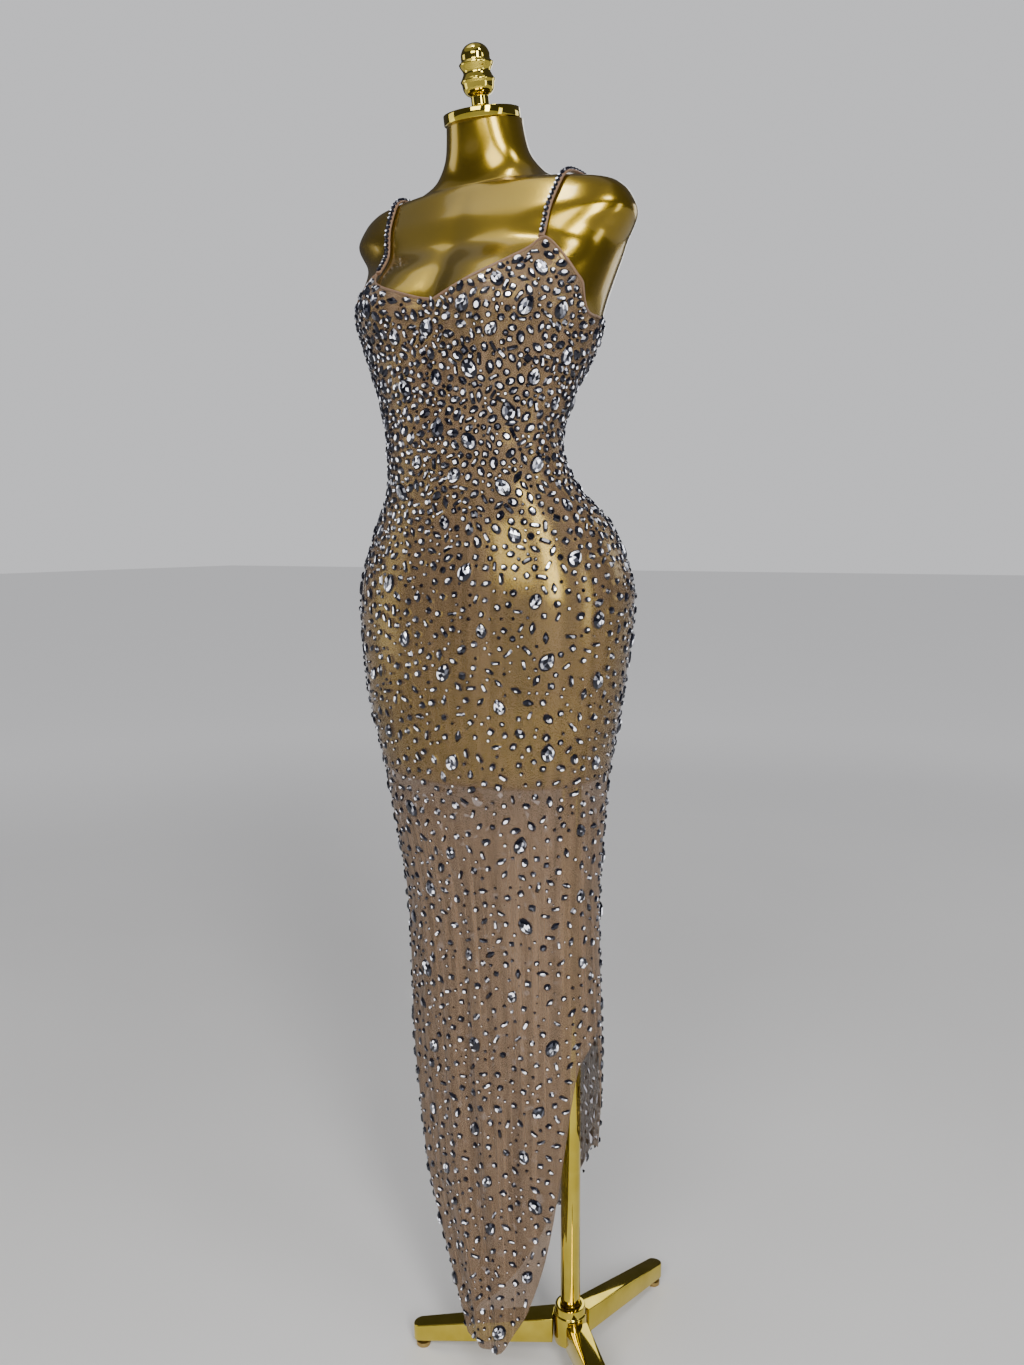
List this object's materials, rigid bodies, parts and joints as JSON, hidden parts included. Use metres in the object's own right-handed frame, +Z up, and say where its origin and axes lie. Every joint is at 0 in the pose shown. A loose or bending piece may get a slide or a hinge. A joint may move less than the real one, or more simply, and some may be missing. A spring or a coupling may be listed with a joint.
{
  "type": "bodycon evening gown on a dress form",
  "caption": "Floor-length bodycon evening gown in sheer stone-set mesh, with thin straps and a side slit, worn by a limbless dress form on a three-legged stand.",
  "frame": {"origin": "middle of the bounding box at the floor, under the stand's pads", "axes": "+Z up, -Y towards the front of the gown, +X towards the wearer's left"},
  "size_m": [0.4302, 0.4, 1.6379],
  "materials": {
    "crystal": "clear foil-backed cut glass stones",
    "gown_mesh": "sheer nude stretch mesh",
    "strap_cloth": "nude stretch satin tube",
    "gold_paint": "glossy antique gold paint",
    "polished_gold": "polished gold plating",
    "pad_plastic": "satin gold-tinted plastic"
  },
  "bodies": {
    "root": {"gown_front": "gown_mesh", "gown_back": "gown_mesh", "strap_left": "strap_cloth", "strap_right": "strap_cloth", "dress_form": "gold_paint", "neck_cap": "polished_gold", "finial": "polished_gold", "pole": "polished_gold", "hub": "polished_gold", "leg_1": "polished_gold", "leg_2": "polished_gold", "leg_3": "polished_gold", "pad_1": "pad_plastic", "pad_2": "pad_plastic", "pad_3": "pad_plastic"}
  },
  "joints": []
}
